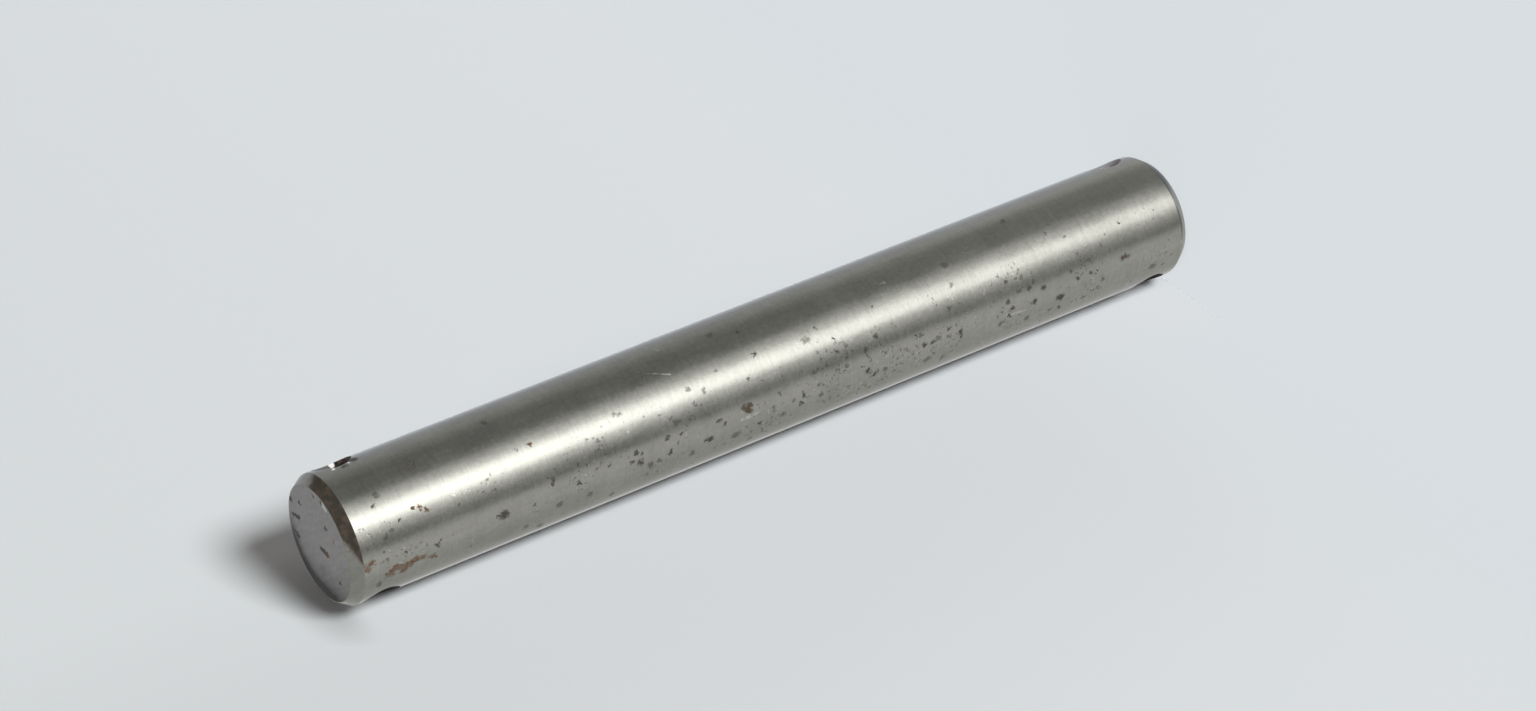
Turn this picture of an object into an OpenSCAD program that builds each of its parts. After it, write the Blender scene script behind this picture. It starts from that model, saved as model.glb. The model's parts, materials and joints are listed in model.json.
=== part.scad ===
// Latch pin: a plain turned and ground steel pin, chamfered at both ends,
// with a cross hole for a split pin or spring clip near each end.
// It stands on its lower end. Millimetres, +Z up along the pin's axis,
// origin at the centre of the lower end face, cross holes along X and a
// little off the pin's axis.

/* [Shank] */
// Diameter of the ground shank
pin_d = 12; // [8:0.5:25]
// Length over both end faces
pin_len = 91; // [40:1:160]

/* [Ends] */
// Length of the chamfer at each end, measured along the pin
chamfer_len = 1; // [0.5:0.1:2]
// Depth of the chamfer at each end, measured inwards from the shank
chamfer_depth = 0.65; // [0.4:0.05:1.5]
// Radius worn onto the two corners of each chamfer
corner_r = 0.15; // [0.05:0.05:0.3]

/* [Cross holes] */
// Diameter of both cross holes
hole_d = 3.2; // [1.6:0.1:4]
// Distance from the upper end face to the upper hole's centre
upper_hole_inset = 3.3; // [3.2:0.1:12]
// Distance from the lower end face to the lower hole's centre
lower_hole_inset = 3.5; // [3.2:0.1:12]
// Distance that both holes were drilled off the pin's axis, towards -Y
hole_offset = 0.7; // [0:0.1:1.2]
// Depth of the 45 degree countersink at each mouth
countersink = 0.3; // [0.1:0.1:0.6]

/* [Hidden] */
steel = [0.56, 0.57, 0.55];
pin_r = pin_d / 2;
hole_r = hole_d / 2;
upper_hole_z = pin_len - upper_hole_inset;
lower_hole_z = lower_hole_inset;
// How far each cutting tool starts outside the surface that it cuts
run_out = 1;
arc_steps = 4;
$fn = 96;

function unit(v) = v / norm(v);

// Points of an arc of radius r that rounds the corner at p, between a and b
function corner_arc(a, p, b, r) =
    let (
        to_a = unit(a - p),
        to_b = unit(b - p),
        half = acos(to_a * to_b) / 2,
        centre = p + unit(to_a + to_b) * r / sin(half),
        start = p + to_a * r / tan(half) - centre,
        end = p + to_b * r / tan(half) - centre,
        turn = atan2(start.x * end.y - start.y * end.x, start * end)
    )
    [
        for (i = [0:arc_steps])
            let (a = turn * i / arc_steps)
            centre + [start.x * cos(a) - start.y * sin(a), start.x * sin(a) + start.y * cos(a)]
    ];

// Half section of the turned pin, radius along X and height along Y
module half_section() {
    lower_rim = [pin_r - chamfer_depth, 0];
    lower_shoulder = [pin_r, chamfer_len];
    upper_shoulder = [pin_r, pin_len - chamfer_len];
    upper_rim = [pin_r - chamfer_depth, pin_len];
    polygon(concat(
        [[0, 0]],
        corner_arc([0, 0], lower_rim, lower_shoulder, corner_r),
        corner_arc(lower_rim, lower_shoulder, upper_shoulder, corner_r),
        corner_arc(lower_shoulder, upper_shoulder, upper_rim, corner_r),
        corner_arc(upper_shoulder, upper_rim, [0, pin_len], corner_r),
        [[0, pin_len]]
    ));
}

// Cone that countersinks a mouth at the shank's surface, widening outwards by 1 mm a millimetre
module mouth_cone() {
    translate([0, 0, pin_r - countersink])
        cylinder(h = countersink + run_out, r1 = hole_r, r2 = hole_r + countersink + run_out);
}

// A drill right across the pin at height z, off its axis, with a countersink at each mouth
module cross_hole(z) {
    translate([0, -hole_offset, z])
        rotate([0, 90, 0]) {
            cylinder(h = pin_d + 2 * run_out, r = hole_r, center = true);
            mouth_cone();
            mirror([0, 0, 1]) mouth_cone();
        }
}

module latch_pin() {
    color(steel)
        difference() {
            rotate_extrude() half_section();
            cross_hole(upper_hole_z);
            cross_hole(lower_hole_z);
        }
}

latch_pin();
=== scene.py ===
"""A latch pin of ground steel, standing on its lower end in front of a pale backdrop.

Lengths are in metres, but those in the lists below and in the finishes are in millimetres.
Turns about the pin are counted from the front, -Y, towards +X.
"""
import json
import math

import bpy
import bmesh
from bpy.props import FloatProperty, FloatVectorProperty, IntProperty, PointerProperty
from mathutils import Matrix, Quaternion, Vector


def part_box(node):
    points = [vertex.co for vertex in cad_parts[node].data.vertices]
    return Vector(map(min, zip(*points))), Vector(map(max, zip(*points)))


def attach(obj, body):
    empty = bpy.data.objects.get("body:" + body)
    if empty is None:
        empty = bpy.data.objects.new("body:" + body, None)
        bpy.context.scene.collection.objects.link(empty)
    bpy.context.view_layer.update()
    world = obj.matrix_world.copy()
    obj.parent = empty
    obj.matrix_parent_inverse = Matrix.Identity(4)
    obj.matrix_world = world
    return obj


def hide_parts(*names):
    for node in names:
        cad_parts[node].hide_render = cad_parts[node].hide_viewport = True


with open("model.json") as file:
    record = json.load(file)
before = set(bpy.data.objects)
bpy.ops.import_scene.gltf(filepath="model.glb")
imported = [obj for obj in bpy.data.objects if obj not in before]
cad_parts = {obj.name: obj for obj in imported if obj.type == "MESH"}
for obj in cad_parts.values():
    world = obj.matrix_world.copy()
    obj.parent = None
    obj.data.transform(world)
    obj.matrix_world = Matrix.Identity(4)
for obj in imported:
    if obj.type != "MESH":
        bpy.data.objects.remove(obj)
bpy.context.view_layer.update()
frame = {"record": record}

bl_info = {
    "name": "Latch pin",
    "version": (1, 0, 0),
    "blender": (4, 5, 0),
    "location": "3D View > Sidebar > Latch pin",
    "description": "Models a worn, round-ground latch pin and the studio that it stands in",
    "category": "Object",
}

MM = 0.001
PIN_LOW, PIN_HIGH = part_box("latch_pin")
# The smaller of the two widths, which the facets leave a hair apart
PIN_R = min(PIN_HIGH.x - PIN_LOW.x, PIN_HIGH.y - PIN_LOW.y) / 2
PIN_LEN = PIN_HIGH.z - PIN_LOW.z
MOUNTS = {mount["name"]: mount for mount in frame["record"]["mounts"]}
CROSS_HOLES = [MOUNTS["upper_cross_hole"], MOUNTS["lower_cross_hole"]]

# Width of the ring of faces that keeps the flat ends' shading off their worn corners
END_INSET = 0.2 * MM
# Faces that turn from their neighbours by less than this look smooth
SMOOTH_BELOW = math.radians(24)
# White of the painted glints at the upper hole: a painted highlight
GLINT_COLOUR = (0.95, 0.95, 0.93)

# Marks on the shank: (millimetres below the upper end, degrees round from the front, radius in
# millimetres, stretch along the pin)
DARK_PITS = [
    (8.4, 38, 0.22, 1.6), (8.1, 35, 0.32, 1.3), (5.2, -4, 0.13, 1.2), (8.4, -35, 0.14, 1.0),
    (8.1, -37, 0.26, 1.0), (5.1, -32, 0.14, 1.0), (14.7, -34, 0.42, 1.1), (14.2, -33, 0.20, 1.0),
    (17.7, -36, 0.14, 0.8), (19.8, -20, 0.22, 1.0), (19.7, -24, 0.24, 0.8), (22.3, -33, 0.19, 1.0),
    (25.4, -27, 0.17, 1.1), (28.2, -26, 0.28, 1.0), (28.8, -29, 0.17, 1.0), (27.8, -33, 0.20, 1.3),
    (31.5, 35, 0.18, 1.0), (31.1, 27, 0.15, 1.1), (31.5, -24, 0.22, 1.1), (33.0, -25, 0.20, 0.8),
    (33.3, -30, 0.13, 1.1), (31.7, -39, 0.26, 0.9), (35.9, -42, 0.34, 1.1), (35.5, -41, 0.18, 1.0),
    (36.9, -27, 0.18, 2.0), (37.5, -33, 0.22, 0.8), (39.6, -24, 0.26, 1.0), (40.1, -28, 0.34, 0.9),
    (40.3, -24, 0.22, 1.0), (40.8, -3, 0.17, 0.7), (41.3, -47, 0.24, 0.8), (43.6, -26, 0.19, 1.0),
    (42.3, 15, 0.16, 1.6), (46.0, -36, 0.25, 0.9), (45.8, -43, 0.27, 0.8), (49.0, 17, 0.18, 0.9),
    (50.2, 2, 0.14, 1.0), (50.2, -9, 0.22, 1.1), (47.4, -18, 0.20, 1.0), (53.1, -17, 0.28, 1.1),
    (54.4, -9, 0.22, 1.3), (55.3, 17, 0.16, 0.8), (50.9, -24, 0.17, 0.9), (52.5, -31, 0.15, 1.0),
    (53.1, -37, 0.30, 1.3), (53.9, -44, 0.22, 1.4), (58.6, -22, 0.18, 0.7), (59.5, -34, 0.26, 1.2),
    (60.5, -34, 0.24, 1.2), (62.3, -28, 0.20, 1.2), (62.7, -10, 0.22, 1.0), (63.6, -36, 0.30, 0.8),
    (63.7, -41, 0.22, 0.7), (69.4, -7, 0.22, 0.8), (69.2, -25, 0.22, 1.2), (69.6, -33, 0.28, 1.2),
    (69.2, -39, 0.20, 0.9), (71.7, -20, 0.22, 1.2), (72.2, -35, 0.29, 1.0), (73.3, -25, 0.28, 1.1),
    (76.6, -20, 0.23, 0.7), (0.9, -30, 0.15, 1.0), (1.6, -31, 0.13, 1.2), (75.3, -42, 0.36, 1.3),
    (77.3, -29, 0.26, 1.1), (78.9, -29, 0.24, 1.2),
    (79.7, -29, 0.13, 1.0), (75.4, 20, 0.13, 1.2), (87.4, 4, 0.16, 0.8), (83.3, 5, 0.13, 0.9),
]
FAINT_PITS = [
    (4.1, 22, 0.22, 1.0), (3.5, -13, 0.18, 1.0), (4.2, -9, 0.18, 1.0), (2.4, -55, 0.32, 0.8),
    (16.4, 50, 0.24, 1.0), (20.3, -47, 0.26, 1.2), (17.0, -58, 0.26, 0.9), (18.6, -67, 0.42, 0.8),
    (18.8, 15, 0.20, 1.2), (17.5, 14, 0.16, 1.0), (23.4, -49, 0.26, 0.8), (24.2, -26, 0.15, 1.0),
    (25.8, -63, 0.30, 0.9), (27.3, 12, 0.20, 1.3), (27.7, 10, 0.20, 1.0), (34.8, 8, 0.24, 0.9),
    (36.2, 2, 0.26, 0.9), (38.1, 14, 0.16, 0.8), (29.6, -44, 0.28, 1.0), (34.1, -50, 0.30, 0.9),
    (28.6, -37, 0.34, 0.9), (32.5, -32, 0.16, 1.0), (38.7, -50, 0.36, 1.2), (43.8, -47, 0.24, 1.0),
    (40.5, -64, 0.30, 0.8), (42.1, 40, 0.20, 0.8), (39.8, 49, 0.30, 0.9), (44.9, -37, 0.20, 1.0),
    (47.6, 10, 0.30, 1.5), (49.1, -4, 0.16, 0.8), (55.1, -26, 0.18, 1.0), (59.9, -52, 0.32, 1.2),
    (61.8, -59, 0.30, 0.8), (61.4, 3, 0.14, 0.7), (63.8, 8, 0.18, 1.0), (64.3, 27, 0.22, 1.3),
    (68.3, -45, 0.28, 0.8), (70.5, -19, 0.20, 1.2), (72.6, 49, 0.26, 0.9), (77.2, 12, 0.18, 1.0),
    (83.0, -27, 0.28, 1.7), (86.6, -50, 0.34, 1.1), (80.4, -40, 0.24, 1.0), (71.5, -51, 0.30, 0.9),
    (74.2, -52, 0.24, 0.8), (75.4, -55, 0.28, 0.8), (32.2, -9, 0.15, 1.0), (32.7, -14, 0.22, 1.5),
]
RUST_SPOTS = [
    (6.8, 1, 0.15, 1.2), (7.3, 0, 0.17, 1.4), (7.8, -3, 0.18, 1.0), (7.7, -5, 0.12, 1.0),
    (0.9, -29, 0.30, 1.0), (1.3, -34, 0.30, 1.0), (1.8, -29, 0.24, 1.2), (3.4, 14, 0.16, 1.5),
    (3.5, -47, 0.42, 1.0), (3.9, -43, 0.34, 1.0), (4.4, -45, 0.32, 1.0), (4.8, -47, 0.40, 1.2),
    (5.3, -45, 0.36, 1.3), (5.9, -43, 0.32, 1.2), (6.5, -43, 0.22, 1.2), (7.5, -47, 0.24, 1.3),
    (7.9, -48, 0.16, 1.0), (40.1, -26, 0.44, 1.0), (28.6, -37, 0.26, 0.9), (18.8, 15, 0.16, 1.0),
    (75.4, -55, 0.22, 0.8), (83.0, -27, 0.20, 1.6), (53.1, -17, 0.16, 1.3),
]
# Light scratches: (start, end) as millimetres below the upper end and degrees, then how far it
# reaches to each side
SCRATCHES = [
    ((31.9, 36), (34.0, 26), 0.10), ((34.6, 61), (34.7, 55), 0.10), ((57.1, 35), (57.8, 33), 0.16),
    ((39.3, -35), (41.2, -35), 0.22), ((69.0, -38), (71.2, -41), 0.16),
]

# Painted glints round and in the upper hole, then painted shade beside its +X mouth and one dark
# crack by the upper chamfer, in the same terms as the marks on the shank
PAINTED_GLINTS = [(2.6, 66, 0.20, 0.9), (4.15, 67, 0.13, 0.8), (3.85, 98, 0.44, 0.6)]
MOUTH_SHADE_AND_CRACK = [(4.75, 70, 0.46, 1.0), (3.6, 64, 0.22, 1.6), (0.8, -36, 0.12, 1.6)]

# Marks on the upper end face: (start, end) in millimetres from the axis, then how far it
# reaches to each side
NICKS = [
    ((3.04, 3.39), (2.57, 2.29), 0.26), ((1.52, 4.27), (1.07, 3.88), 0.24),
    ((-0.50, -0.12), (-1.10, -0.89), 0.42), ((1.15, -2.51), (1.05, -2.65), 0.30),
    ((3.79, 1.14), (3.70, 1.02), 0.28), ((4.45, 2.70), (4.31, 2.48), 0.36),
    ((4.07, -2.48), (4.02, -2.54), 0.22), ((-3.83, -1.26), (-3.60, -1.40), 0.24),
    ((3.35, -3.72), (3.20, -3.60), 0.26),
]
REDDENED = [((-1.10, -0.80), (-1.20, -0.95), 0.44), ((-0.27, -3.26), (-0.20, -3.34), 0.34)]
SHINY = [((3.09, -3.91), (2.55, -4.15), 0.26)]

CAMERA_PLACE = Vector((12.859, -294.509, 201.241)) * MM
CAMERA_AIM = Vector((0.799, 0.033, 44.368)) * MM
FLOOR_SIZE = 3.0
BACKDROP_SIZE = 1.3
# How far the backdrop's lower edge is below the floor, and its face behind the pin
BACKDROP_SUNK = 0.05
BACKDROP_GAP = 0.02 * MM
# How far the floor and the backdrop follow the lamps in the camera's view
FLOOR_LIT = 0.05
BACKDROP_LIT = 0.97
# How far the painted contact shadow beside the upper end reaches over the backdrop
CONTACT_REACH = 4 * MM
# How much a painted soft shadow darkens the backdrop on the side of the pin that is lower in
# the camera's view
SOFT_SHADOW_DEPTH = 0.06

# Distant lamps: (name, how far its place is outwards from the backdrop, across it and up,
# softness in degrees, strength, colour)
LAMPS = [
    ("key", (0.753, -0.601, -0.268), 21.6, 3.44, (1.0, 1.0, 1.0)),
    ("side", (0.380, -0.331, 0.864), 20.4, 1.42, (1.10, 0.99, 0.94)),
    ("top", (-0.30, 0.0, 1.0), 30.0, 1.80, (1.0, 1.0, 1.0)),
]

# The studio's brightness that the ring's colour ramps hold as 1
BRIGHTEST = 4.0
# The studio's brightness seen by the steel, round the pin: (degrees from the front, level seen
# by the upper end, level seen by the lower end)
STUDIO_RING = [
    (-180, 0.62, 0.66), (-169, 0.70, 0.68), (-159, 0.84, 0.78), (-151, 0.64, 0.64),
    (-143, 0.55, 0.60), (-133, 0.53, 0.58), (-119, 0.53, 0.60), (-103, 0.55, 0.63),
    (-89, 0.61, 0.65), (-73, 0.72, 0.70), (-61, 0.74, 0.72), (-51, 0.72, 0.70),
    (-45, 0.56, 0.59), (-39, 0.33, 0.39), (-31, 0.37, 0.41), (-23, 0.57, 0.51),
    (-15, 0.96, 0.72), (-9, 1.30, 0.99), (-3, 2.30, 1.91), (2, 3.40, 2.83), (13, 3.50, 2.67),
    (20, 2.80, 2.01), (26, 1.75, 1.24), (34, 1.05, 0.71), (43, 0.67, 0.54), (51, 0.34, 0.38),
    (61, 0.26, 0.34), (87, 0.245, 0.36), (99, 0.325, 0.41), (115, 0.44, 0.60),
    (149, 0.53, 0.56), (164, 0.77, 0.75),
]


class StudioSettings(bpy.types.PropertyGroup):
    """Sizes and colours of the studio."""

    background: FloatVectorProperty(
        name="Background", description="Pale colour of the floor and of all beyond the sheets",
        subtype="COLOR", size=3, min=0, max=1, default=(0.692, 0.732, 0.756))
    backdrop_foot: FloatVectorProperty(
        name="Backdrop's foot", description="Colour of the backdrop at the floor",
        subtype="COLOR", size=3, min=0, max=1, default=(0.690, 0.731, 0.757))
    # Darker than the foot: a painted fall-off of light up the backdrop
    backdrop_head: FloatVectorProperty(
        name="Backdrop's head", description="Colour of the backdrop above the pin",
        subtype="COLOR", size=3, min=0, max=1, default=(0.650, 0.690, 0.706))
    lens: FloatProperty(
        name="Lens", description="Focal length of the camera on a 36 mm sensor",
        default=86.41, min=20, max=300, unit="CAMERA")
    roll: FloatProperty(
        name="Roll", description="Turn of the camera about its line of sight, anticlockwise",
        default=math.radians(-111.613), subtype="ANGLE")
    sheet_turn: FloatProperty(
        name="Backdrop's turn", description="Direction that the backdrop faces, from the front",
        default=math.radians(52.2), subtype="ANGLE")


class PinSettings(bpy.types.PropertyGroup):
    """Sizes and colours of the latch pin."""

    chamfer_len: FloatProperty(
        name="Chamfer's length", description="Length of each end's chamfer along the pin",
        default=1.0 * MM, min=0.1 * MM, max=3 * MM, unit="LENGTH", precision=5)
    chamfer_depth: FloatProperty(
        name="Chamfer's depth", description="Depth of each end's chamfer from the shank inwards",
        default=0.65 * MM, min=0.1 * MM, max=3 * MM, unit="LENGTH", precision=5)
    corner_r: FloatProperty(
        name="Worn corner", description="Radius worn onto the corners of both chamfers",
        default=0.15 * MM, min=0.02 * MM, max=0.5 * MM, unit="LENGTH", precision=5)
    countersink: FloatProperty(
        name="Countersink", description="Depth of the countersink at each cross hole's mouth",
        default=0.3 * MM, min=0.05 * MM, max=1 * MM, unit="LENGTH", precision=5)
    facets: IntProperty(
        name="Facets", description="Faces round the shank", default=360, min=48, max=720)
    steel: FloatVectorProperty(
        name="Steel", description="Colour of the ground steel", subtype="COLOR", size=3,
        min=0, max=1, default=(0.364, 0.364, 0.328))
    end_steel: FloatVectorProperty(
        name="End steel", description="Colour of the faced ends", subtype="COLOR", size=3,
        min=0, max=1, default=(0.370, 0.370, 0.365))
    # Near black: painted shade in the cross holes
    bore_steel: FloatVectorProperty(
        name="Bore steel", description="Colour of the cross holes' dark walls", subtype="COLOR",
        size=3, min=0, max=1, default=(0.022, 0.019, 0.019))
    pit: FloatVectorProperty(
        name="Pit", description="Colour in the pits", subtype="COLOR", size=3,
        min=0, max=1, default=(0.034, 0.030, 0.023))
    rust: FloatVectorProperty(
        name="Rust", description="Colour of the fresh rust", subtype="COLOR", size=3,
        min=0, max=1, default=(0.150, 0.085, 0.046))


# ---------------------------------------------------------------- shader maths

class Wire:
    """A socket of numbers in a node tree. Arithmetic on it adds Math nodes."""

    def __init__(self, graph, socket):
        self.graph = graph
        self.socket = socket

    def maths(self, operation, *values, clamp=False):
        """The result of a Math node."""
        settings = {"operation": operation, "use_clamp": clamp}
        return Wire(self.graph, self.graph.node("ShaderNodeMath", settings, *values).outputs[0])

    def __add__(self, other):
        return self.maths("ADD", self, other)

    __radd__ = __add__

    def __sub__(self, other):
        return self.maths("SUBTRACT", self, other)

    def __rsub__(self, other):
        return self.maths("SUBTRACT", other, self)

    def __mul__(self, other):
        return self.maths("MULTIPLY", self, other)

    __rmul__ = __mul__

    def __truediv__(self, other):
        return self.maths("DIVIDE", self, other)

    def __neg__(self):
        return self.maths("MULTIPLY", self, -1)

    def root(self):
        """The square root."""
        return self.maths("SQRT", self)

    def either(self, other):
        """The larger of the two."""
        return self.maths("MAXIMUM", self, other)

    def or_less(self, other):
        """The smaller of the two."""
        return self.maths("MINIMUM", self, other)

    def clamped(self):
        """Kept between 0 and 1."""
        return self.maths("ADD", self, 0, clamp=True)

    def step(self, low, high):
        """0 at low, 1 at high, and smooth between; low may be the larger."""
        node = self.graph.node(
            "ShaderNodeMapRange", {"interpolation_type": "SMOOTHSTEP"}, self, low, high, 0.0, 1.0)
        return Wire(self.graph, node.outputs[0])


class Graph:
    """A node tree under construction."""

    # Places of a Mix node's sockets when it mixes colours
    MIX_FACTOR, MIX_FIRST, MIX_SECOND, MIX_RESULT = 0, 6, 7, 2

    def __init__(self, owner):
        owner.use_nodes = True
        self.tree = owner.node_tree
        self.tree.nodes.clear()

    def feed(self, target, value):
        """Links a wire or a socket to an input, or sets the input's own value."""
        if isinstance(value, Wire):
            value = value.socket
        if isinstance(value, bpy.types.NodeSocket):
            self.tree.links.new(value, target)
        else:
            target.default_value = value

    def node(self, kind, settings=None, *values, **named):
        """A node with its settings, and its sockets by place or by name with _ for a space."""
        made = self.tree.nodes.new(kind)
        for key, value in (settings or {}).items():
            setattr(made, key, value)
        for target, value in zip(made.inputs, values):
            if value is not None:
                self.feed(target, value)
        for key, value in named.items():
            self.feed(made.inputs[key.replace("_", " ")], value)
        return made

    def vector(self, operation, *values, **named):
        """The vector that a Vector Math node gives."""
        node = self.node("ShaderNodeVectorMath", {"operation": operation}, *values, **named)
        return node.outputs[0]

    def measure(self, operation, *values):
        """The number that a Vector Math node gives."""
        node = self.node("ShaderNodeVectorMath", {"operation": operation}, *values)
        return Wire(self, node.outputs["Value"])

    def parts(self, vector):
        """A vector's three parts."""
        split = self.node("ShaderNodeSeparateXYZ", None, vector)
        return {axis: Wire(self, split.outputs[axis]) for axis in "XYZ"}

    def scaled(self, vector, factors):
        """A vector times a fixed vector."""
        return self.vector("MULTIPLY", vector, factors)

    def noise(self, vector, scale, detail=2.0, roughness=0.5):
        """Fractal noise between 0 and 1."""
        node = self.node("ShaderNodeTexNoise", None, Vector=vector, Scale=scale, Detail=detail,
                         Roughness=roughness)
        return Wire(self, node.outputs[0])

    def cells(self, vector, scale):
        """Distance to the nearest cell centre, and a number that differs in each cell."""
        node = self.node("ShaderNodeTexVoronoi", {"feature": "F1"}, Vector=vector, Scale=scale)
        split = self.node("ShaderNodeSeparateColor", None, node.outputs["Color"])
        return Wire(self, node.outputs["Distance"]), Wire(self, split.outputs[0])

    def mix(self, factor, first, second):
        """A colour that goes from first to second."""
        node = self.node("ShaderNodeMix", {"data_type": "RGBA"})
        self.feed(node.inputs[self.MIX_FACTOR], factor)
        for place, value in ((self.MIX_FIRST, first), (self.MIX_SECOND, second)):
            value = (*value, 1.0) if isinstance(value, tuple) else value
            self.feed(node.inputs[place], value)
        return node.outputs[self.MIX_RESULT]

    def dimmed(self, colour, level):
        """A colour times a varying level."""
        both = self.node("ShaderNodeCombineColor", None, level, level, level).outputs[0]
        node = self.node("ShaderNodeMix", {"data_type": "RGBA", "blend_type": "MULTIPLY"})
        sockets = ((self.MIX_FACTOR, 1.0), (self.MIX_FIRST, colour), (self.MIX_SECOND, both))
        for place, value in sockets:
            self.feed(node.inputs[place], value)
        return node.outputs[self.MIX_RESULT]


# ---------------------------------------------------------------- finishes

def on_shank(below, turn_deg):
    """A place on the shank, from its distance below the upper end and its turn."""
    turn = math.radians(turn_deg)
    return Vector((PIN_R * math.sin(turn), -PIN_R * math.cos(turn), PIN_LEN - below * MM)) / MM


def on_end(x, y):
    """A place on the upper end face."""
    return Vector((x, y, PIN_LEN / MM))


def marks(graph, place, rows):
    """How far a place is from the nearest mark, in that mark's own radii."""
    reach = None
    for below, turn, radius, stretch in rows:
        squeeze = Vector((1 / radius, 1 / radius, 1 / (radius * stretch)))
        away = graph.vector("MULTIPLY_ADD", place, squeeze, -on_shank(below, turn) * squeeze)
        here = graph.measure("LENGTH", away)
        reach = here if reach is None else reach.or_less(here)
    return reach


def scratches(graph, place, rows, on_surface):
    """1 on the scratches and 0 beside them. on_surface turns a row's ends into places."""
    found = 0.0
    for start, end, reach in rows:
        start, end = on_surface(*start), on_surface(*end)
        along = end - start
        away = graph.vector("SUBTRACT", place, start)
        share = (graph.measure("DOT_PRODUCT", away, along) / along.length_squared).clamped()
        gap = graph.measure("DISTANCE", away, graph.vector("SCALE", along, Scale=share))
        found = gap.step(reach, reach / 2).either(found)
    return found


def facing(position, turn_deg):
    """How far a place lies towards a direction round the pin, as a share of the pin's radius."""
    turn = math.radians(turn_deg)
    return (position["X"] * math.sin(turn) - position["Y"] * math.cos(turn)) / (PIN_R / MM)


def start_finish(name):
    """A material, its graph, the place on the pin, its three parts and a ragged copy of it."""
    material = bpy.data.materials.new(name)
    graph = Graph(material)
    place = graph.scaled(graph.node("ShaderNodeTexCoord").outputs["Object"], (1 / MM,) * 3)
    tear = graph.node("ShaderNodeTexNoise", None, Vector=place, Scale=2.6, Detail=4.0,
                      Roughness=0.6)
    shift = graph.vector("SUBTRACT", tear.outputs["Color"], (0.5, 0.5, 0.5))
    return material, graph, place, graph.parts(place), graph.vector("ADD", place, shift)


def end_finish(graph, material, colour, roughness, metallic, height):
    """Joins the varying values to the surface shader."""
    bump = graph.node("ShaderNodeBump", None, Strength=1.0, Distance=MM, Height=height)
    shader = graph.node("ShaderNodeBsdfPrincipled", None, Base_Color=colour, Roughness=roughness,
                        Metallic=metallic, Normal=bump.outputs[0], Specular_IOR_Level=0.2)
    graph.node("ShaderNodeOutputMaterial", None, shader.outputs[0])
    return material


def ground_steel(pin):
    """The shank: round-ground steel with fine rings, scattered pits, a little rust, and painted
    glints and painted shade by the upper hole.
    """
    material, graph, place, at, ragged = start_finish("ground_steel")
    rings = graph.noise(graph.scaled(place, (0.35, 0.35, 15.0)), 1.0, 3.0)
    bands = graph.noise(graph.scaled(place, (0.12, 0.12, 2.6)), 1.0, 3.0)
    cloud = graph.noise(place, 0.30, 4.0, 0.6)
    speckle = graph.noise(place, 2.4, 3.0, 0.65)
    patchy = graph.noise(place, 0.16, 2.0)
    drawn = graph.noise(graph.scaled(place, (1.3, 1.3, 0.30)), 1.0, 3.0)

    # Random pits, which gather on the worn side, and then the marks that have their own place
    worn_side = facing(at, -31).step(0.70, 0.92)
    density = worn_side * patchy.step(0.36, 0.58) * 0.25 + patchy.step(0.50, 0.75) * 0.08 + 0.03
    near, chance = graph.cells(ragged, 1.25)
    coarse = ((chance - 1 + density) * 1.1 - near).step(-0.10, 0.06)
    near, chance = graph.cells(ragged, 2.9)
    fine = ((chance - 1 + density * 1.3) * 1.3 - near).step(-0.16, 0.06)
    # Small painted glints: bright flecks put into the colour
    glint = ((density * 0.7 - chance) * 1.3 - near).step(-0.16, 0.02)
    dark = marks(graph, ragged, DARK_PITS).step(1.35, 0.55)
    faint = marks(graph, ragged, FAINT_PITS).step(1.7, 0.5) * 0.62
    # Painted shade beside the upper hole's +X mouth, and one dark crack by the upper chamfer
    mouth_shade_and_crack = marks(graph, ragged, MOUTH_SHADE_AND_CRACK).step(1.3, 0.7)
    pits = dark.either(faint).either(coarse * 0.62).either(fine * 0.58).either(mouth_shade_and_crack).clamped()
    rust = (marks(graph, ragged, RUST_SPOTS) + (speckle - 0.5) * 2.2).step(1.55, 0.70)
    rust = rust * (0.62 + speckle.step(0.62, 0.40) * 0.38)
    bright = scratches(graph, place, SCRATCHES, on_shank) * speckle.step(0.35, 0.6)
    # Painted glints: white spots at the upper hole that stand in for highlights
    painted_glint = marks(graph, place, PAINTED_GLINTS).step(1.2, 0.7)

    # The steel's own unevenness with small painted glints in it, then the pits, the painted shade
    # by the upper hole, the rust and the painted glints at that hole over it
    grain = 1 + (rings - 0.5) * 0.24 + (bands - 0.5) * 0.14 + (cloud - 0.5) * 0.28
    grain = grain + (drawn - 0.5) * 0.22 + (speckle - 0.5) * 0.26 + bright * 0.5 + glint * 0.45
    colour = graph.dimmed((*pin.steel, 1.0), grain)
    colour = graph.mix(pits * 0.88, colour, tuple(pin.pit))
    fresh = cloud.step(0.40, 0.52) * (0.25 + at["Z"].step(66, 76) * 0.75)
    rusted = graph.mix(fresh, (0.060, 0.050, 0.034), tuple(pin.rust))
    colour = graph.mix(rust * 0.95, colour, rusted)
    colour = graph.mix(painted_glint, colour, GLINT_COLOUR)
    foul = pits.either(rust).either(painted_glint)
    roughness = 0.19 + (cloud - 0.5) * 0.10 + (drawn - 0.5) * 0.12 + (speckle - 0.5) * 0.14
    roughness = roughness + foul.step(0.45, 1.0) * 0.4 + bright * 0.2
    metallic = 1 - foul.step(0.50, 1.0) * 0.92
    height = rings * 0.0012 + bands * 0.002 + speckle * 0.005 - pits * 0.0006
    return end_finish(graph, material, colour, roughness.clamped(), metallic.clamped(), height)


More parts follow.
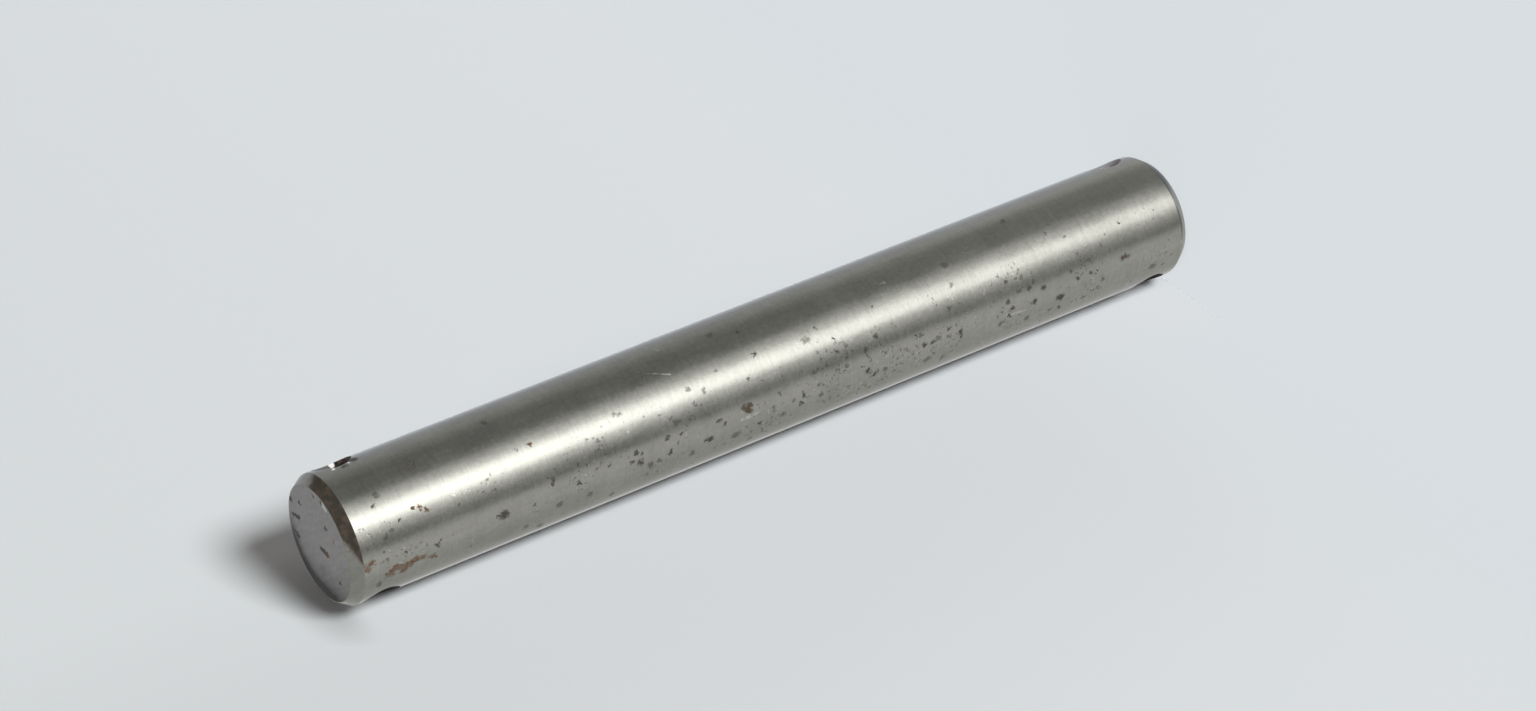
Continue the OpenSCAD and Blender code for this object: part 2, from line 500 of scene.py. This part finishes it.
def faced_steel(pin):
    """The end faces: duller steel, faced off and knocked about, with painted shade towards one
    side and a painted dark reflection at the rim.
    """
    material, graph, place, at, ragged = start_finish("faced_steel")
    streaks = graph.noise(graph.scaled(place, (2.6, 0.35, 1.0)), 1.0, 3.0)
    cloud = graph.noise(place, 0.45, 4.0, 0.6)
    fleck = graph.noise(place, 2.2, 3.0, 0.6)
    near, chance = graph.cells(ragged, 1.6)
    specks = ((chance - 0.92) * 1.5 - near).step(-0.08, 0.05)
    nicks = scratches(graph, ragged, NICKS, on_end).either(specks * 0.5)
    reddened = scratches(graph, ragged, REDDENED, on_end)
    shiny = scratches(graph, place, SHINY, on_end)
    # The face is painted darker towards two directions as shade, and darkest in a crescent at its
    # rim as a painted dark reflection.
    outwards = (at["X"] * at["X"] + at["Y"] * at["Y"]).root() + (fleck - 0.5) * 0.5
    shaded_side = facing(at, -152)
    shaded_tip = facing(at, -108)
    rim_reflection = outwards.step(3.40, 5.10) * shaded_side.step(0.20, 0.70)
    tone = 0.94 + (streaks - 0.5) * 0.34 + (cloud - 0.5) * 0.32 + (fleck - 0.5) * 0.36
    tone = tone - shaded_side.step(0.0, 0.70) * 0.18 - shaded_tip.step(0.10, 0.85) * 0.34
    tone = (tone - rim_reflection * 0.62).either(0.08) + shiny * 0.9
    colour = graph.dimmed((*pin.end_steel, 1.0), tone)
    colour = graph.mix(nicks * 0.95, colour, (0.040, 0.038, 0.036))
    colour = graph.mix(reddened * 0.7, colour, (0.11, 0.045, 0.03))
    foul = nicks.either(reddened).clamped()
    roughness = 0.46 + (cloud - 0.5) * 0.2 + foul * 0.2
    metallic = 1 - foul * 0.8
    height = streaks * 0.006 + cloud * 0.02 + fleck * 0.01 - foul * 0.02
    return end_finish(graph, material, colour, roughness.clamped(), metallic.clamped(), height)


def turned_chamfer(pin):
    """The chamfers: turned steel; rust with a painted dark reflection round half of the upper one,
    painted dark reflections on the lower.
    """
    material, graph, place, at, _ = start_finish("turned_chamfer")
    cloud = graph.noise(place, 1.1, 4.0, 0.6)
    upper = at["Z"].step(PIN_LEN / MM / 2 - 1, PIN_LEN / MM / 2)
    below = PIN_LEN / MM - at["Z"]
    taper = (below - 0.5) * facing(at, -60).step(0.0, 0.9) * 0.24
    # Rust together with a painted dark reflection on the upper chamfer
    rust_and_dark_reflection = (facing(at, 26) + (cloud - 0.5) * 0.24 + taper).step(0.60, 0.76) * upper
    rust_and_dark_reflection = (rust_and_dark_reflection + (cloud - 0.62).step(0.0, 0.12) * 0.35).clamped()
    tone = 1 + (cloud - 0.5) * 0.5
    clean = graph.dimmed((*pin.steel, 1.0), tone)
    dark = graph.mix(cloud.step(0.42, 0.66), (0.038, 0.034, 0.028), (0.072, 0.058, 0.044))
    # Two bands of painted dark reflection on the lower chamfer
    dark_reflection_bands = (facing(at, 38).step(0.82, 0.97) + facing(at, -15).step(0.93, 0.99)) * (1 - upper)
    colour = graph.mix(rust_and_dark_reflection, clean, dark)
    colour = graph.mix(dark_reflection_bands.clamped() * 0.8, colour, (0.060, 0.055, 0.065))
    roughness = 0.38 + rust_and_dark_reflection * 0.32
    metallic = 1 - rust_and_dark_reflection * 0.8
    height = cloud * 0.02 + rust_and_dark_reflection * cloud * 0.03
    return end_finish(graph, material, colour, roughness.clamped(), metallic.clamped(), height)


def drilled_steel(pin):
    """The cross holes: painted near black as shade, dull, with rust, a cleaner wall and painted
    glints in the upper one.
    """
    material, graph, place, at, _ = start_finish("drilled_steel")
    cloud = graph.noise(place, 1.6, 3.0)
    # Painted glints inside the upper hole
    painted_glint = marks(graph, place, PAINTED_GLINTS).step(1.2, 0.7)
    # Rust in the upper hole, towards its +X mouth
    rusty = cloud.step(0.40, 0.60) * at["X"].step(-2, 2) * at["Z"].step(40, 50)
    # The bores' near-black colour is painted shade, with rust over it
    brown = graph.mix(rusty, tuple(pin.bore_steel), (0.090, 0.056, 0.044))
    upper_z = MOUNTS["upper_cross_hole"]["pos_m"][2] / MM
    # Cleaner steel on the upper half of the upper hole; where the lower hole's +X mouth stands
    # open, its wall is painted a lighter grey than the painted shade in the rest of the bores
    clean = at["Z"].step(upper_z - 0.50, upper_z - 0.20)
    colour = graph.mix(clean * 0.9, brown, (0.16, 0.16, 0.16))
    open_wall = at["X"].step(2.5, 4.0) * at["Z"].step(5.8, 2.8)
    colour = graph.mix(open_wall, colour, (0.30, 0.30, 0.33))
    colour = graph.mix(painted_glint, colour, GLINT_COLOUR)
    return end_finish(graph, material, colour, 0.55, 0.0, cloud * 0.01)


# ---------------------------------------------------------------- modelling

def only(obj):
    """Makes obj the one selected and active object."""
    bpy.ops.object.select_all(action="DESELECT")
    obj.select_set(True)
    bpy.context.view_layer.objects.active = obj


def pick(obj, kind, test):
    """Selects the edges or faces of obj that pass a test, and leaves obj in edit mode."""
    bpy.ops.object.mode_set(mode="EDIT")
    bpy.ops.mesh.select_mode(type=kind)
    bpy.ops.mesh.select_all(action="DESELECT")
    mesh = bmesh.from_edit_mesh(obj.data)
    for item in mesh.edges if kind == "EDGE" else mesh.faces:
        item.select_set(test(item))
    bmesh.update_edit_mesh(obj.data)


def ring_at(height, radius):
    """A test for the edges of a ring round the pin."""
    slack = 0.004 * MM

    def test(edge):
        return all(abs(v.co.z - height) < slack and abs(v.co.xy.length - radius) < slack
                   for v in edge.verts)
    return test


def apply_modifier(obj, kind, **settings):
    """Adds a modifier to obj and applies it."""
    only(obj)
    modifier = obj.modifiers.new(kind.lower(), kind)
    for key, value in settings.items():
        setattr(modifier, key, value)
    bpy.ops.object.modifier_apply(modifier=modifier.name)


def turned_blank(pin):
    """The turned blank: a bar with both ends chamfered and their corners worn round."""
    bpy.ops.object.select_all(action="DESELECT")
    bpy.ops.mesh.primitive_cylinder_add(
        vertices=pin.facets, radius=PIN_R, depth=PIN_LEN - 2 * pin.chamfer_len,
        location=(0, 0, PIN_LEN / 2))
    blank = bpy.context.object
    blank.name = "latch_pin_worn"
    only(blank)
    bpy.ops.object.transform_apply(location=True, rotation=True, scale=True)
    lean = math.atan2(pin.chamfer_depth, pin.chamfer_len)
    for end, outward in ((PIN_LEN, 1), (0, -1)):
        shoulder = end - outward * pin.chamfer_len
        pick(blank, "FACE", lambda face: face.normal.z * outward > 0.9)
        bpy.ops.mesh.extrude_region_move(
            TRANSFORM_OT_translate={"value": (0, 0, outward * pin.chamfer_len)})
        narrow = 1 - pin.chamfer_depth / PIN_R
        bpy.ops.transform.resize(value=(narrow, narrow, 1), center_override=(0, 0, end))
        for height, radius, bend in ((end, PIN_R - pin.chamfer_depth, math.pi / 2 - lean),
                                     (shoulder, PIN_R, lean)):
            pick(blank, "EDGE", ring_at(height, radius))
            bpy.ops.mesh.bevel(offset=pin.corner_r * math.tan(bend / 2), segments=3,
                               affect="EDGES", clamp_overlap=False)
        pick(blank, "FACE", lambda face: face.normal.z * outward > 0.999)
        bpy.ops.mesh.inset(thickness=END_INSET)
    # Rings of edges about a millimetre apart, with none close to a chamfer
    rings = round(PIN_LEN / MM)
    clear = 1.2 * pin.chamfer_len
    for step in range(1, rings):
        height = PIN_LEN * step / rings
        if clear < height < PIN_LEN - clear:
            bpy.ops.mesh.select_all(action="SELECT")
            bpy.ops.mesh.bisect(plane_co=(0, 0, height), plane_no=(0, 0, 1))
    bpy.ops.object.mode_set(mode="OBJECT")
    return blank


def assign_finishes(blank, pin):
    """Puts the finish of the shank, the ends and the chamfers on the blank's faces."""
    for finish in (ground_steel, faced_steel, turned_chamfer):
        blank.data.materials.append(finish(pin))
    for face in blank.data.polygons:
        upright = abs(face.normal.z)
        face.material_index = 1 if upright > 0.97 else 2 if upright > 0.2 else 0


def cross_drill(mount, pin):
    """The tool for a cross hole: a bar across the pin that widens at both mouths."""
    run_out = 1.0 * MM
    radius = mount["dims"]["r_mm"] * MM
    half = PIN_R - pin.countersink
    bpy.ops.object.select_all(action="DESELECT")
    bpy.ops.mesh.primitive_cylinder_add(
        vertices=96, radius=radius, depth=2 * half,
        location=mount["pos_m"], rotation=(0, math.radians(90), 0))
    drill = bpy.context.object
    only(drill)
    bpy.ops.object.transform_apply(location=True, rotation=True, scale=True)
    grow = pin.countersink + run_out
    for side in (-1, 1):
        pick(drill, "FACE", lambda face: face.normal.x * side > 0.9)
        bpy.ops.mesh.extrude_region_move(TRANSFORM_OT_translate={"value": (side * grow, 0, 0)})
        wide = (radius + grow) / radius
        bpy.ops.transform.resize(value=(1, wide, wide), center_override=mount["pos_m"])
    bpy.ops.mesh.select_all(action="SELECT")
    bpy.ops.mesh.normals_make_consistent(inside=False)
    bpy.ops.object.mode_set(mode="OBJECT")
    return drill


def cut(piece, tool, finish):
    """Takes the tool out of the piece. The cut faces get the finish."""
    tool.data.materials.clear()
    tool.data.materials.append(finish)
    apply_modifier(piece, "BOOLEAN", object=tool, operation="DIFFERENCE", solver="EXACT",
                   material_mode="TRANSFER")
    bpy.data.objects.remove(tool)


class LATCHPIN_OT_pin(bpy.types.Operator):
    """Model the latch pin with its chamfers, cross holes, pits and finishes"""

    bl_idname = "latchpin.pin"
    bl_label = "Latch pin"

    def execute(self, context):
        pin = context.scene.latch_pin
        piece = turned_blank(pin)
        assign_finishes(piece, pin)
        drilled = drilled_steel(pin)
        for mount in CROSS_HOLES:
            cut(piece, cross_drill(mount, pin), drilled)
        only(piece)
        bpy.ops.object.shade_smooth_by_angle(angle=SMOOTH_BELOW)
        apply_modifier(piece, "WEIGHTED_NORMAL", weight=50, keep_sharp=True)
        # Otherwise the sheets would pick up the studio's bright panels from the steel.
        piece.visible_diffuse = False
        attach(piece, "root")
        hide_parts("latch_pin")
        return {"FINISHED"}


# ---------------------------------------------------------------- studio

def pale_paper(graph, shade, lit_share):
    """A pale surface that follows the lamps by lit_share to the camera, and is even otherwise."""
    paper = graph.node("ShaderNodeBsdfDiffuse", None, shade).outputs[0]
    even = graph.node("ShaderNodeEmission", None, shade, 1.0).outputs[0]
    seen = Wire(graph, graph.node("ShaderNodeLightPath").outputs["Is Camera Ray"])
    return graph.node("ShaderNodeMixShader", None, seen * (1 - lit_share), paper, even).outputs[0]


def floor_finish(studio):
    """The floor: one pale colour."""
    material = bpy.data.materials.new("floor")
    graph = Graph(material)
    surface = pale_paper(graph, (*studio.background, 1.0), FLOOR_LIT)
    graph.node("ShaderNodeOutputMaterial", None, surface)
    return material


def backdrop_finish(studio, across):
    """The backdrop: pale, with a painted fall-off of light that leaves it a little darker above
    the pin, and not seen from behind.

    Away from the pin it follows the lamps no more than the floor does where they meet, so that
    no line shows there. It also carries a painted soft shadow on the side of the pin that across
    points away from, and a painted contact shadow close beside the pin's upper end.
    """
    material = bpy.data.materials.new("backdrop")
    graph = Graph(material)
    place = graph.parts(graph.node("ShaderNodeNewGeometry").outputs["Position"])
    x, y, height = place["X"], place["Y"], place["Z"]
    # A painted fall-off of light: darker towards the head
    shade = graph.mix(height.step(-0.03, 0.13), tuple(studio.backdrop_foot),
                      tuple(studio.backdrop_head))

    # A painted contact shadow beside the upper end, from ambient occlusion, dims the backdrop's
    # colour.
    open_sky = graph.node("ShaderNodeAmbientOcclusion", {"samples": 16}, Distance=CONTACT_REACH)
    by_upper_end = height.step(PIN_LEN - 2.4 * MM, PIN_LEN + 1.0 * MM)
    painted_contact_shadow = (1 - Wire(graph, open_sky.outputs["AO"])) * by_upper_end
    # A painted soft shadow on the pin's lower side in the camera's view
    aside = x * across.x + y * across.y
    painted_soft_shadow = aside.step(-62 * MM, -16 * MM) * aside.step(14 * MM, -12 * MM)
    painted_soft_shadow = SOFT_SHADOW_DEPTH * painted_soft_shadow * height.step(0, 28 * MM)
    shade = graph.dimmed(shade, (1 - painted_contact_shadow) * (1 - painted_soft_shadow))

    near_pin = (x * x + y * y).root().step(16 * MM, 10 * MM)
    lit_share = near_pin.either(height.step(0, 20 * MM)) * BACKDROP_LIT
    front = pale_paper(graph, shade, lit_share)
    behind = graph.node("ShaderNodeNewGeometry").outputs["Backfacing"]
    clear = graph.node("ShaderNodeBsdfTransparent").outputs[0]
    surface = graph.node("ShaderNodeMixShader", None, behind, front, clear).outputs[0]
    graph.node("ShaderNodeOutputMaterial", None, surface)
    return material


def stage_sheet(name, size, material):
    """A sheet for the stage that neither the steel nor the lamps notice."""
    bpy.ops.object.select_all(action="DESELECT")
    bpy.ops.mesh.primitive_plane_add(size=size)
    sheet = bpy.context.object
    sheet.name = name
    sheet.data.materials.append(material)
    sheet.visible_glossy = False
    sheet.visible_diffuse = False
    sheet.visible_shadow = False
    return sheet


def ring_world(studio):
    """The studio round the pin: bright and dark soft panels that the steel mirrors."""
    world = bpy.data.worlds.new("studio")
    bpy.context.scene.world = world
    graph = Graph(world)
    way = graph.parts(graph.node("ShaderNodeTexCoord").outputs["Generated"])
    x, y, z = way["X"], way["Y"], way["Z"]
    turn = x.maths("ARCTAN2", x, -y) / (2 * math.pi) + 0.5
    rings = []
    for column in (1, 2):
        ramp = graph.node("ShaderNodeValToRGB", None, turn)
        stops = ramp.color_ramp.elements
        for number, row in enumerate(STUDIO_RING):
            place = (row[0] + 180) / 360
            # A new ramp already has two stops.
            stop = stops[number] if number < 2 else stops.new(place)
            stop.position = place
            stop.color = (row[column] / BRIGHTEST,) * 3 + (1.0,)
        rings.append(Wire(graph, ramp.outputs[0]) * BRIGHTEST)
    high, low = rings
    # The lower the place on the pin, the steeper down its mirrored rays go.
    level = high + (low - high) * z.step(-0.44, -0.57)
    # The bright panels are also dimmer down there, and overhead it is even.
    level = level - z.step(-0.34, -0.58) * 0.48 * (level - 0.8).either(0)
    overhead = z.step(0.0, 0.40)
    level = level + (0.50 - level) * overhead
    tint = graph.mix(turn.step(0.80, 0.92) * (1 - overhead), (1.0, 1.0, 1.0), (0.94, 0.98, 1.07))

    path = graph.node("ShaderNodeLightPath").outputs
    panels = graph.node("ShaderNodeBackground", None, tint, level).outputs[0]
    dim = graph.node("ShaderNodeBackground", None, (1.0, 1.0, 1.0, 1.0), 0.02).outputs[0]
    plain = graph.node("ShaderNodeBackground", None, (*studio.background, 1.0), 1.0).outputs[0]
    unseen = graph.node("ShaderNodeMixShader", None, path["Is Glossy Ray"], dim, panels).outputs[0]
    both = graph.node("ShaderNodeMixShader", None, path["Is Camera Ray"], unseen, plain).outputs[0]
    graph.node("ShaderNodeOutputWorld", None, both)


def far_lamp(name, direction, softness, strength, colour):
    """A distant lamp that shines from a direction and doesn't show in the steel."""
    lamp = bpy.data.lights.new(name, "SUN")
    lamp.angle = math.radians(softness)
    lamp.energy = strength
    lamp.color = colour
    holder = bpy.data.objects.new(name, lamp)
    bpy.context.scene.collection.objects.link(holder)
    holder.rotation_mode = "QUATERNION"
    holder.rotation_quaternion = direction.to_track_quat("Z", "Y")
    holder.visible_glossy = False


class LATCHPIN_OT_stage(bpy.types.Operator):
    """Set up the camera, the floor, the backdrop, the lamps and the studio round them"""

    bl_idname = "latchpin.stage"
    bl_label = "Stage"

    def execute(self, context):
        studio = context.scene.latch_studio
        context.scene.view_settings.view_transform = "Standard"
        camera = bpy.data.objects.new("camera", bpy.data.cameras.new("camera"))
        context.scene.collection.objects.link(camera)
        context.scene.camera = camera
        camera.data.sensor_width = 36
        camera.data.lens = studio.lens
        camera.data.clip_start = 0.01
        camera.location = CAMERA_PLACE
        camera.rotation_mode = "QUATERNION"
        look = (CAMERA_AIM - CAMERA_PLACE).to_track_quat("-Z", "Y")
        camera.rotation_quaternion = look @ Quaternion((0, 0, 1), studio.roll)

        out = Vector((math.sin(studio.sheet_turn), -math.cos(studio.sheet_turn), 0))
        across = Vector((-out.y, out.x, 0))
        up = Vector((0, 0, 1))
        stage_sheet("floor", FLOOR_SIZE, floor_finish(studio))
        backdrop = stage_sheet("backdrop", BACKDROP_SIZE, backdrop_finish(studio, across))
        backdrop.rotation_mode = "QUATERNION"
        backdrop.rotation_quaternion = out.to_track_quat("Z", "Y")
        backdrop.location = (up * (BACKDROP_SIZE / 2 - BACKDROP_SUNK)
                             - out * (PIN_R + BACKDROP_GAP))

        ring_world(studio)
        for name, place, softness, strength, colour in LAMPS:
            far_lamp(name, out * place[0] + across * place[1] + up * place[2], softness, strength,
                     colour)
        return {"FINISHED"}


class LATCHPIN_PT_panel(bpy.types.Panel):
    """Lists the steps that model the latch pin"""

    bl_idname = "LATCHPIN_PT_panel"
    bl_label = "Latch pin"
    bl_space_type = "VIEW_3D"
    bl_region_type = "UI"
    bl_category = "Latch pin"

    def draw(self, context):
        column = self.layout.column()
        for group, names in (
            (context.scene.latch_pin, PinSettings.__annotations__),
            (context.scene.latch_studio, StudioSettings.__annotations__),
        ):
            for name in names:
                column.prop(group, name)
        column.operator(LATCHPIN_OT_stage.bl_idname)
        column.operator(LATCHPIN_OT_pin.bl_idname)


CLASSES = (StudioSettings, PinSettings, LATCHPIN_OT_pin, LATCHPIN_OT_stage, LATCHPIN_PT_panel)


def register():
    """Adds the steps, the panel and their settings to Blender."""
    for item in CLASSES:
        bpy.utils.register_class(item)
    bpy.types.Scene.latch_pin = PointerProperty(type=PinSettings)
    bpy.types.Scene.latch_studio = PointerProperty(type=StudioSettings)


def unregister():
    """Takes them away again."""
    del bpy.types.Scene.latch_studio
    del bpy.types.Scene.latch_pin
    for item in reversed(CLASSES):
        bpy.utils.unregister_class(item)


def main():
    """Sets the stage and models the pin."""
    register()
    bpy.ops.latchpin.stage()
    bpy.ops.latchpin.pin()


if __name__ == "__main__":
    main()
